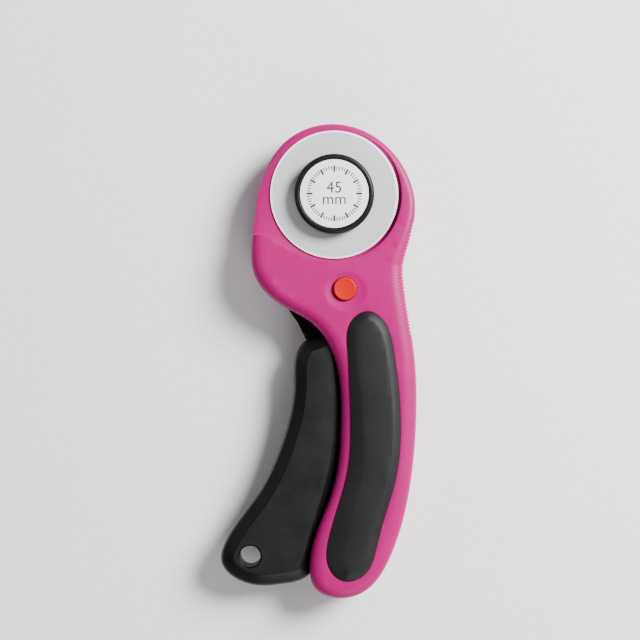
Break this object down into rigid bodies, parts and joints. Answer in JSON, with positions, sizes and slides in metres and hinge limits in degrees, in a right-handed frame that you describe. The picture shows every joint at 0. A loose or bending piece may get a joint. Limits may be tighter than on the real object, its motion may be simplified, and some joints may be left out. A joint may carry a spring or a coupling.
{
  "type": "rotary cutter",
  "caption": "Rotary cutter for fabric: a round steel blade on a sprung lever, guarded by a two-part body, with a squeeze trigger and a push lock.",
  "frame": {"origin": "on the blade's axis at rest, at the flat rear face of the nut, which the tool rests on when it lies on its back", "axes": "+Y from the handle to the head, +Z from the nut to the blade's side (up when the tool lies on its back), +X away from the trigger"},
  "size_m": [0.069, 0.1669, 0.0226],
  "materials": {
    "shell_magenta": "satin moulded magenta",
    "soft_black": "matt moulded elastomer",
    "lever_brown": "matt glass-filled nylon",
    "trigger_black": "fine matt texture",
    "steel_pin": "ground",
    "bush_brass": "turned",
    "washer_white": "natural acetal",
    "spring_steel": "drawn wire and pressed strip",
    "button_red": "orange-red, satin",
    "ring_rubber": "matt",
    "blade_steel": "ground and polished",
    "steel_bolt": "zinc plated",
    "hub_black": "satin black",
    "label_white": "printed card grey-white"
  },
  "bodies": {
    "handle": {"front_shell": "shell_magenta", "rear_shell": "shell_magenta", "front_grip_pad": "soft_black", "rear_grip_pad": "soft_black", "pivot_pin": "steel_pin", "pivot_washer": "washer_white", "return_spring": "spring_steel", "button_detent_ring": "ring_rubber", "shell_screws": "steel_bolt"},
    "lever": {"blade_lever": "lever_brown", "trigger_grip": "trigger_black", "pivot_bush": "bush_brass", "bolt_stud": "steel_bolt", "hub_cap": "hub_black", "hub_label_disc": "label_white", "spring_washer": "spring_steel"},
    "blade": {"blade": "blade_steel"},
    "nut": {"nut": "hub_black", "nut_insert": "bush_brass"},
    "lock_button": {"lock_button": "button_red"}
  },
  "joints": [
    {"name": "trigger_squeeze", "type": "hinge", "parent": "handle", "child": "lever", "pos_m": [-0.0159, -0.0289, 0.0113], "axis": [0, 0, 1], "range_deg": [0, 12], "stiffness_Nm_per_rad": 1.2, "springref_deg": -12.03, "deforming": ["return_spring"]},
    {"name": "blade_spin", "type": "hinge", "parent": "lever", "child": "blade", "pos_m": [0, 0, 0.0161], "axis": [0, 0, 1], "continuous": true},
    {"name": "nut_turn", "type": "hinge", "parent": "lever", "child": "nut", "pos_m": [0, 0, 0.00275], "axis": [0, 0, 1], "range_deg": [0, 90]},
    {"name": "lock_button_slide", "type": "slide", "parent": "handle", "child": "lock_button", "axis": [0, 0, -1], "range_m": [0, 0.0035]}
  ]
}
